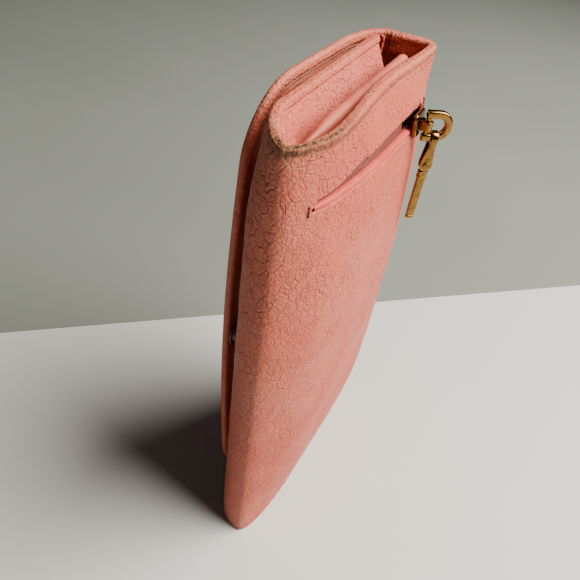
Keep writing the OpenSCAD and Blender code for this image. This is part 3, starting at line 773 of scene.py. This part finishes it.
def flap_hide():
    """Lower half of the spine, the bend, and the flap, wrapped over its three free edges."""
    r = FLAP_R
    arc_r = FLAP_CORNER - r
    u_corner = flap_u(FLAP_EDGE + FLAP_CORNER)
    low = r + arc_r * (1 - np.cos(np.linspace(0, np.pi / 2, 19)))
    z = np.concatenate([low, np.linspace(low[-1], H - low[-1], 176)[1:-1], (H - low)[::-1]])[:, None]
    d_end = np.minimum(z, H - z) - r
    reach_u = u_corner + np.sqrt(np.maximum(arc_r ** 2 - np.maximum(arc_r - d_end, 0) ** 2, 0))
    u = np.linspace(0, 1, 146) * reach_u
    z = z + 0 * u
    inner = np.minimum(np.minimum(H - z, z), np.maximum(reach_u - u, 0))
    bumps = relief(flap_skin(u, z, 0 * z)) * smooth(inner / 4)
    groove = np.exp(-((inner - 1.9) / 0.32) ** 2)
    shell = Shell()
    ids = shell.add(flap_skin(u, z, 0.2 * groove - bumps), **flap_marks(u, inner, 0 * u, groove))
    shell.quads(ids, flip=True)
    flap_rim(shell, outline(ids), outline(u), outline(z))
    return thicken(shell.build("hide_flap", HIDE, None, 60))


def flap_rim(shell, ids, u, z):
    """Wraps the flap's hide over its free edges and inward, as far as the hem goes."""
    du = u - np.minimum(u, flap_u(FLAP_EDGE + FLAP_CORNER))
    dz = z - np.clip(z, FLAP_CORNER, H - FLAP_CORNER)
    size = np.hypot(du, dz)
    # (how far past the outline, share of the hem's thickness)
    steps = [(FLAP_R * np.sin(a), 0.5 - 0.5 * np.cos(a)) for a in np.linspace(0, np.pi, 13)[1:]]
    steps += [(-e, 1.0) for e in (1.0, 1.9, 2.2, 2.5, 4.0, 6.0)]
    rough = field(flap_skin(u, z, 0 * u), 2.4, 10) * smooth(u / 6)
    rings = [ids]
    for past, share in steps:
        uu, zz = u + du / size * past, z + dz / size * past
        depth = hem_flap(u) * share - 0.10 * rough * np.sin(np.pi * share)
        line = np.full(len(uu), 0.8 if past in (-1.9, -2.5) else 0.0)
        marks = flap_marks(uu, -1 + 0 * uu, depth, line)
        rings.append(shell.add(flap_skin(uu, zz, depth), **marks))
    shell.quads(np.array(rings))


def hem_flap(u):
    """Thickness of the flap with its hem, from the spine's to the flap's own."""
    return 2.6 + (HEM_T + SPINE_HEM - 2.6) * (1 - smooth((u - 1) / 14))


def flap_marks(u, inner, depth, groove):
    """Mesh attributes of the flap's hide, which has no grime."""
    away = np.maximum(inner, 0)
    return {"along": u, "across": depth - inner, "band": unit(1.3 - away / 2.4) * 0.8, "line": groove,
            "grime": 0 * u, "rub": 0.5 * np.exp(-(away / 1.6) ** 2)}


def join_hides():
    """The three hide pieces, bending over the spine's two corners."""
    back = back_hide()
    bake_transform(back)
    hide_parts("back_leather", "spine_leather")
    flap = flap_hide()
    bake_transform(flap)
    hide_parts("flap_leather")
    front = front_hide()
    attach(front, "front")
    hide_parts("front_leather")


# ---- inside: divider, gussets, linings ----
def ridge_y(z):
    """Middle of the divider, which leans towards the back rim at both short ends."""
    near = np.minimum(z, H - z)
    return RIDGE_Y + 3.3 * smooth(1 - (near - 3) / 30)


RIDGE_X = (-W / 2 + 11.5, W / 2 - 12.0)


def divider():
    """Smooth wrapped board between the compartments, thinner by the bottom fold."""
    x = np.concatenate([RIDGE_X[0] + 3 * (1 - np.cos(np.linspace(0, np.pi / 2, 9))),
                        np.linspace(RIDGE_X[0] + 3, RIDGE_X[1], 84)[1:]])
    from_nose = RIDGE_X[1] - x
    from_spine = x - RIDGE_X[0]
    thick = RIDGE_T * (0.30 + 0.70 * smooth(from_nose / 16))
    thick = thick * np.sqrt(1 - (1 - unit(from_spine / 1.5)) ** 2 * 0.9)
    drop = 1.6 * (1 - smooth(from_nose / 18))
    drop = drop + 3.2 * (1 - np.sqrt(1 - (1 - unit(from_spine / 3.2)) ** 2))
    a = np.linspace(0, np.pi, 11)
    rise = np.linspace(0, 1, 70)[1:-1]
    rings = []
    for k in range(len(x)):
        r = thick[k] / 2
        lo, hi = RIDGE_END + drop[k] + r, H - RIDGE_END - drop[k] - r
        side = [-r * np.cos(a), 0 * rise + r, r * np.cos(a), 0 * rise - r]
        up = [lo - r * np.sin(a), lo + (hi - lo) * rise, hi + r * np.sin(a), hi + (lo - hi) * rise]
        side, up = np.concatenate(side), np.concatenate(up)
        rings.append(np.stack([np.full(len(up), x[k]), ridge_y(up) + side, up], -1))
    rings = np.array(rings)
    rings[..., 1] += 0.18 * field(rings * np.array([1, 0.2, 1]), 22, 4) + 0.05 * field(rings, 3.5, 5)
    obj = ring_solid("divider", rings[:, ::-1], SMOOTH, "divider")
    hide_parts("divider_leather", "divider_board")


GUSSET_T, LINING_T, WALL_T = 0.8, 0.5, 0.35


def under(points, up):
    """The other face of a gusset's leather."""
    low = points.copy()
    low[..., 2] += -GUSSET_T if up else GUSSET_T
    return low


def gusset_face(side, up):
    """Grid from a panel's rim, s along it, down into a valley and up to the divider's edge."""
    s = np.linspace(13.0 if side > 0 else 10.5, 86.2, 104)[:, None]
    t = np.linspace(0, 1, 22)[None, :]
    valley, deep = (0.55, 4.5) if side > 0 else (0.74, 6.5)
    shape = np.where(t < valley, np.sin(np.pi / 2 * unit(t / valley)) ** 1.3,
                     np.cos(np.pi / 2 * unit((t - valley) / (1 - valley))) ** 0.8)
    sag = 1.5 + t * 4.2 + deep * shape * smooth((s - 8) / 18)
    sag = sag + 1.6 * (1 - smooth((s - 10) / 5)) * np.sin(np.pi * t)
    z = H - sag if up else sag
    points = skin(turn_of(side * s, z), z, HEM_T - 0.5)
    ridge = ridge_y(z) + side * (RIDGE_T / 2 - 0.3) * (0.3 + 0.7 * smooth((s - 12) / 16))
    points[..., 1] = points[..., 1] * (1 - t) + ridge * t
    fold = 0.22 * field(points * np.array([1, 1, 0.4]), 6, 21 + side) + 0.10 * field(points, 2.2, 23)
    points[..., 2] += fold * np.sin(np.pi * t) * (1 if up else -1)
    return points


def gusset(side, up):
    """Soft fold between a panel's rim and the divider; side is 1 at the back and -1 at the front."""
    name = f"gusset_{'back' if side > 0 else 'front'}_{'top' if up else 'bottom'}"
    points = gusset_face(side, up)
    points = points if (side > 0) == up else points[::-1]
    obj = slab(name, points, under(points, up), GUSSET, None)
    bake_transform(obj)
    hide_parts(name)


def nose_fold(up):
    """The gussets' leather where it closes round the bottom fold."""
    k = np.linspace(0, 1, 34)[:, None]
    t = np.linspace(0, 1, 26)[None, :]
    s = 1.2 + 14.6 * k
    dip = 1.5 + 0.4 * k + (0.8 + 4.4 * smooth(k)) * np.sin(np.pi * unit(t)) ** 0.8
    z = H - dip if up else dip
    front = skin(turn_of(-s, z), z, hem_at(-s) - 0.5)
    back = skin(turn_of(s, z), z, hem_at(s) - 0.5)
    points = front * (1 - t[..., None]) + back * t[..., None]
    points[..., 2] = z + 0.15 * field(points, 4, 31) * np.sin(np.pi * t)
    low = under(points, up)
    pair = (points, low) if up else (low, points)
    obj = slab(f"nose_fold_{'top' if up else 'bottom'}", *pair, GUSSET, "back")


def liner(name, columns, rows, depth, thick, material, body, slot, *replaced, place=skin):
    """Glued inner layer that follows a panel at a depth."""
    u, z = np.meshgrid(columns, rows, indexing="ij")
    d = depth(u, z) + 0 * u
    z = z - (sink(u, z) if place is skin else 0)
    d = d + 0.06 * field(place(u, z, d), 9, 41)
    front, back = place(u, z, d), place(u, z, d + thick)
    obj = slab(name, front[::-1], back[::-1], material, body)
    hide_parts(*replaced)


def pocket_depth(u, z):
    """Depth of the pocket's inner wall, deepest behind the slit."""
    edge = unit(np.minimum.reduce([z - POCKET_FOOT, POCKET_TOP - z, u - SLIT_U0, W - 7 - u]) / 4)
    behind = unit(1 - (np.abs(z - SLIT_MID) - 5) / 5)
    return 1.95 + edge * (1.7 + 3.6 * behind)


def linings():
    """Linings of the back and the front, and the zip pocket's two walls."""
    wide = np.linspace(SLIT_U0, W - 7, 80)
    tall = np.linspace(HEM_H + 0.6, POCKET_TOP, 150)
    liner("back_lining", wide, tall, lambda u, z: np.where(z < POCKET_FOOT, 1.55, pocket_depth(u, z) + 0.45),
          LINING_T, SMOOTH, "back", "leather_smooth", "back_lining")
    pocket = np.linspace(POCKET_FOOT, POCKET_TOP, 90)
    # the pocket walls' dark cloth is painted shade
    liner("pocket_wall_inner", wide, pocket, pocket_depth,
          WALL_T, SHADED_CLOTH, "back", "pocket_cloth", "pocket_wall_inner")
    liner("pocket_wall_outer", wide, np.linspace(POCKET_FOOT, SLIT_MID - 10, 70), lambda u, z: 1.55,
          WALL_T, SHADED_CLOTH, "back", "pocket_cloth", "pocket_wall_outer")
    front = np.linspace(-MOUTH_S + 2.0, -SPLIT_S - 1, 70)
    liner("front_lining", front, np.linspace(HEM_H - 1, H - HEM_H + 1, 140), lambda u, z: 1.6,
          LINING_T, SMOOTH, "front", "leather_smooth", "front_lining")


def spine_skin(t, z, depth):
    """Inner layers of the spine, t from its top to its lower edge."""
    top = panel_y(W - 1.5, z) - CORNER_R * 0.45 - 0.8 * depth
    x = -W / 2 + 1.1 * np.abs(2 * t - 1) ** 3 + depth
    return np.stack([x, top + (-7 - top) * t - MID_Y, z + 0 * t], -1)


def spine_lining():
    liner("spine_lining", np.linspace(0.04, 0.96, 20), np.linspace(HEM_H - 1, H - HEM_H + 1, 130),
          lambda t, z: 1.6, LINING_T, INSIDE, "spine", "leather_grained", "spine_lining", place=spine_skin)


def flap_lining():
    """Lining of the flap past its bend, rounded as the flap's corners are."""
    inset = 5.4
    share, z = np.meshgrid(np.linspace(0, 1, 90), np.linspace(inset, H - inset, 150), indexing="ij")
    r = FLAP_CORNER - inset
    d_end = np.minimum(z, H - z) - inset
    end = flap_u(FLAP_EDGE + FLAP_CORNER) + np.sqrt(np.maximum(r * r - np.maximum(r - d_end, 0) ** 2, 0))
    start = flap_u(W - 8) + 18.0
    u = start + (end - start) * share
    depth = 2.05 + 0.06 * field(flap_skin(u, z, 0 * u), 9, 42)
    outer, inner = flap_skin(u, z, depth), flap_skin(u, z, depth + 0.42)
    obj = slab("flap_lining", outer[::-1], inner[::-1], GUSSET, "flap")
    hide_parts("flap_lining", "flap_board")


def card_slot(part, row, z0, z1):
    """One slot on the flap's inner face, with a thicker turned mouth and a crease beside it."""
    mouth = 30 + 8 * (row - 1)
    close = np.array([0.0, 0.08, 0.25, 0.5, 0.9, 1.4, 1.7, 2.0, 2.6])
    s = np.concatenate([mouth + close, np.linspace(mouth + 3.4, 78, 52)])
    near = np.array([0, 0.15, 0.4])
    z = np.concatenate([z0 + near, np.linspace(z0 + 1, z1 - 1, 80), z1 - near[::-1]])
    s, z = np.meshgrid(s, z, indexing="ij")
    away = s - mouth
    side = np.minimum(z - z0, z1 - z)
    lip_d = 0.22 * (1 - np.sqrt(1 - (1 - unit(np.minimum(away, side) / 0.35)) ** 2))
    crease = 0.12 * np.exp(-((away - 1.7) / 0.22) ** 2)
    thick = 0.36 + 0.12 * unit((1.9 - away) / 0.6)
    d = 2.62 + (row - 1) * 0.4
    u = flap_u(s)
    inner = d + thick - lip_d - crease + 0.05 * field(flap_skin(u, z, d), 8, 50 + row)
    name = f"card_slot_{part}_{row}"
    obj = slab(name, flap_skin(u, z, d + lip_d * 0.4), flap_skin(u, z, inner), SMOOTH, "flap")
    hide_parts(name)


# ---- zip ----
def lip_strip(name, u, loop, material):
    """Solid strip along the slit; loop(u) gives its section as heights and depths."""
    rings = []
    for one in u:
        z, d = loop(one)
        rings.append(skin(np.full(len(z), one), z, d))
    obj = ring_solid(name, np.array(rings), material, "back")
    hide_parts(name)


def welt(one):
    """Section of the rounded welt on the slit's lower lip."""
    a = np.linspace(0, np.pi, 15)
    low = slit_low(one) - 0.15
    top = slit_low(one) + 1.65 + 0.09 * math.sin(one * 0.9) + 0.06 * math.sin(one * 2.3 + 1)
    half = (top - low) / 2
    z = np.concatenate([low + half + half * np.cos(a), [low, top]])
    return z, np.concatenate([1.5 - 1.35 * np.sin(a) ** 0.6, [1.95, 1.95]])


def facing(one):
    """Section of the soft leather that hangs from the slit's upper lip over most of the opening."""
    gape = slit_gape(one)
    high = slit_low(one) + gape
    drop = max(gape - 1.9, 0.4)
    z = high + np.array([3.2, 0.5, 0, -0.3 * drop, -0.7 * drop, -drop])
    d = np.array([2.25, 2.25, 1.15, 1.0, 1.05, 1.6])
    return np.concatenate([z, z[::-1] - 0.1]), np.concatenate([d, d[::-1] + 0.4])


def zip_pieces():
    """Welt, facing, tapes and coils, all following the slit."""
    along = np.linspace(SLIT_U0 + 0.9, SLIT_END - 0.5, 150)
    lip_strip("slit_welt_lower", along, welt, WELT)
    along = np.linspace(SLIT_U0 + 1.0, 66, 120)
    # the facing's darker leather is painted shade under the upper lip
    lip_strip("slit_facing_upper", along, facing, FACING_SHADED)
    along = np.linspace(SLIT_U0 + 2, SLIT_END - 0.4, 130)
    tape_d = np.array([2.2, 2.2, 2.6, 2.6])
    for name, low, high in (("zip_tape_lower", -6.5, 1.7), ("zip_tape_upper", 7.9, 9.6)):
        edges = np.array([low, high, high, low])
        lip_strip(name, along, lambda one: (slit_low(one) + edges, tape_d), TAPE)
    turns, coil_r, wire_r = 44, 0.28, 0.17
    a = np.linspace(0, 2 * np.pi * turns, turns * 12)
    along = np.linspace(17, SLIT_END - 3, len(a))
    for name, rise in (("zip_coil_lower", 0.85), ("zip_coil_upper", 5.45)):
        path = skin(along, slit_low(along) + rise + coil_r * np.cos(a), COIL_IN + coil_r * np.sin(a))
        coil = ring_solid(name, tube_rings(path, wire_r, 7), COIL, "back", 80)
        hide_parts(name)


# ---- hardware ----
def polished(node, body, bevel, material):
    """A CAD node's shape with its coplanar facets joined and its edges rounded."""
    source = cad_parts[node]
    obj = bpy.data.objects.new("metal_" + node, source.data.copy())
    obj.matrix_world = source.matrix_world.copy()
    bpy.context.scene.collection.objects.link(obj)
    weld = obj.modifiers.new("weld", "WELD")
    weld.merge_threshold = 1e-6
    flat = obj.modifiers.new("flat", "DECIMATE")
    flat.decimate_type, flat.angle_limit = "DISSOLVE", math.radians(0.6)
    soft = obj.modifiers.new("bevel", "BEVEL")
    soft.width, soft.segments, soft.limit_method = bevel * MM, 3, "ANGLE"
    soft.angle_limit = math.radians(28)
    mesh = apply_modifiers(obj)
    mesh.materials.clear()
    mesh.materials.append(material)
    mesh.shade_smooth()
    mesh.set_sharp_from_angle(angle=math.radians(38))
    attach(obj, body)
    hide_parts(node)


def hardware():
    """Gold slider and puller, the zip's stops, and the press stud."""
    for node, body, bevel in (("slider_body", "slider", 0.35), ("slider_bridge", "slider", 0.3),
                              ("puller_ring", "ring", 0.05), ("puller_link", "link", 0.12),
                              ("link_rivet", "link", 0.15), ("puller_collar", "pull", 0.14),
                              ("puller_bar", "pull", 0.22), ("bar_tip", "pull", 0.3),
                              ("zip_stops", "back", 0.15)):
        polished(node, body, bevel, GOLD)
    for node, body in (("snap_stud", "front"), ("snap_socket", "flap")):
        polished(node, body, 0.25, RESIN)


# ---- stitching and edge cords ----
def along_skin(height, sign=1.0, at=skin):
    """place(t) for stitch_line: points on the face at height(t), with the way out."""
    def place(t):
        z = height(t)
        here = at(sign * t, z, 0 * t)
        out = at(sign * t, z, 0 * t - 0.4) - here
        return here, out / np.linalg.norm(out, axis=-1)[:, None]
    return place


def slit_tacks():
    """Bar tacks beside the slit's two ends, in a darker thread that is painted shade."""
    starts, ends, outs = [], [], []
    for u, top, count in ((SLIT_U0 - 0.7, 2.7, 3), (SLIT_END + 1.4, 8.0, 7)):
        z = slit_low(u) + np.linspace(-0.9, top, count + 1)
        u = np.full(count, u)
        starts.append(skin(u, z[:-1] + 0.15, 0 * u))
        ends.append(skin(u, z[1:] - 0.15, 0 * u))
        outs.append(along_skin(lambda t: z[:-1])(u)[1])
    thread_run("stitches_slit_ends", *map(np.concatenate, (starts, ends, outs)), "back", TACK_R, THREAD_SHADED)


def stitching():
    """Stitches along the slit's lips, its bar tacks, and the runs beside the two short ends."""
    for name, height, seed in (("upper", lambda t: slit_low(t) + slit_gape(t) + 1.55, 3),
                               ("lower", lambda t: slit_low(t) - 1.45, 4)):
        stitch_line(f"stitches_slit_{name}", along_skin(height), SLIT_U0 + 0.5, SLIT_END + 1,
                    SLIT_PITCH, SLIT_STITCH, "back", seed)
    slit_tacks()
    runs = (("back", 1.0, skin, float(turn_of(4.0, H)), W - CORNER_R, 5),
            ("front", -1.0, skin, 15.5, MOUTH_S - 1, 6),
            ("flap", 1.0, flap_skin, 38.0, flap_u(FLAP_EDGE + FLAP_CORNER), 7))
    for name, level in (("top", H - RUN_IN), ("bottom", RUN_IN)):
        for part, sign, at, start, end, seed in runs:
            stitch_line(f"stitches_{part}_{name}", along_skin(lambda t: level + 0 * t, sign, at), start, end,
                        RUN_PITCH, RUN_STITCH, part, seed)


def edge_cord(name, path, radius, body):
    """A thin round cord of leather along a line of points."""
    taper = np.minimum(1, np.minimum(np.arange(len(path)), np.arange(len(path))[::-1]) / 3 + 0.3)
    lumps = 1 + 0.10 * field(path, 1.6, 60)
    obj = ring_solid(name, tube_rings(path, radius * taper * lumps, 10), GUSSET, body, 80)


def edge_cords():
    """Turned edges of the gussets' leather inside the front's rims and round the bottom fold."""
    for name, level in (("top", H - 1.15), ("bottom", 1.15)):
        u = np.linspace(-15.0, 1.2 - MOUTH_S, 180)
        edge_cord(f"front_rim_cord_{name}", skin(u, level + 0 * u, HEM_T + 0.05), 0.34, "front")
        u = np.linspace(-turn_of(14.6, level), turn_of(14.0, level), 60)
        edge_cord(f"nose_rim_cord_{name}", skin(u, level + 0 * u, hem_at(u) + 0.05), 0.32, "back")


# ---- stage, light and camera ----
def stage_material(name, tone, dark, rough):
    """Plain painted surface, a little uneven in tone."""
    n = Nodes(name)
    where = n.put("ShaderNodeTexCoord", out=3)
    cloud = n.ramp(n.noise(where, 2.2, 3), 0.35, 0.7)
    hue = n.mix(cloud, tone, dark)
    fine = n.noise(where, 900, 2)
    normal = n.put("ShaderNodeBump", {"Strength": 0.05, "Distance": 0.0002, "Height": fine})
    return n.surface(Base_Color=hue, Roughness=rough, Normal=normal)


def plane(name, corners, material):
    mesh = bpy.data.meshes.new(name)
    mesh.from_pydata(corners, [], [(0, 1, 2, 3)])
    obj = bpy.data.objects.new(name, mesh)
    bpy.context.scene.collection.objects.link(obj)
    mesh.materials.append(material)


BOARD_EDGE = Vector((-0.104, -0.026, 0.0))                # a point on the board's edge, in metres
BOARD_RUN = Vector((-0.253, 0.290, 0.0)).normalized()     # the way that the edge runs
FAR = 6.0                                                 # how far the stage reaches
TABLE_DROP = 0.004


def stage():
    """A pale board with the wallet on it, on a grey table whose far part shows behind the board's edge."""
    pale = stage_material("floor", rgb(236, 233, 224), rgb(230, 227, 218), 0.6)
    grey = stage_material("table", rgb(146, 150, 139), rgb(138, 142, 131), 0.8)
    a, b = BOARD_EDGE - BOARD_RUN * FAR, BOARD_EDGE + BOARD_RUN * FAR
    near = Vector((BOARD_RUN.y, -BOARD_RUN.x, 0)) * FAR
    plane("floor", [a, b, b + near, a + near], pale)
    plane("table", [(x * FAR, y * FAR, -TABLE_DROP) for x, y in ((-1, -1), (1, -1), (1, 1), (-1, 1))], grey)


def lights():
    """One large warm key above and behind the wallet, and a dim even surround."""
    data = bpy.data.lights.new("key", "AREA")
    data.shape, data.size, data.energy, data.color = "DISK", 0.9, 38.0, (1.0, 0.975, 0.93)
    key = bpy.data.objects.new("key", data)
    key.location = (-0.27, 0.58, 0.84)
    aim = Vector((0, 0, 0.1)) - key.location
    key.rotation_euler = aim.to_track_quat("-Z", "Y").to_euler()
    bpy.context.scene.collection.objects.link(key)
    world = bpy.data.worlds.new("studio")
    world.use_nodes = True
    world.node_tree.nodes["Background"].inputs[0].default_value = (0.78, 0.80, 0.82, 1)
    world.node_tree.nodes["Background"].inputs[1].default_value = 0.05
    bpy.context.scene.world = world


def camera():
    """The camera that gives the photo's vanishing points and the wallet's place in it."""
    data = bpy.data.cameras.new("camera")
    data.lens, data.sensor_width, data.sensor_fit = 35.7, 36.0, "HORIZONTAL"
    data.clip_start = 0.01
    obj = bpy.data.objects.new("camera", data)
    right = (-0.4684, 0.8765, 0.1125)
    up = (-0.5592, -0.3926, 0.7302)
    back = (0.6842, 0.2790, 0.6739)
    turn = Matrix((right, up, back)).transposed().to_4x4()
    obj.matrix_world = Matrix.Translation((0.1537, 0.0522, 0.2536)) @ turn
    bpy.context.scene.collection.objects.link(obj)
    bpy.context.scene.camera = obj


camera()
stage()
lights()
join_hides()
divider()
for side in (1, -1):
    for up in (True, False):
        gusset(side, up)
for up in (True, False):
    nose_fold(up)
linings()
spine_lining()
flap_lining()
for row in (1, 2, 3):
    card_slot("lower", row, 8.5, H / 2 - 2)
    card_slot("upper", row, H / 2 + 2, H - 8.5)
zip_pieces()
hardware()
stitching()
edge_cords()
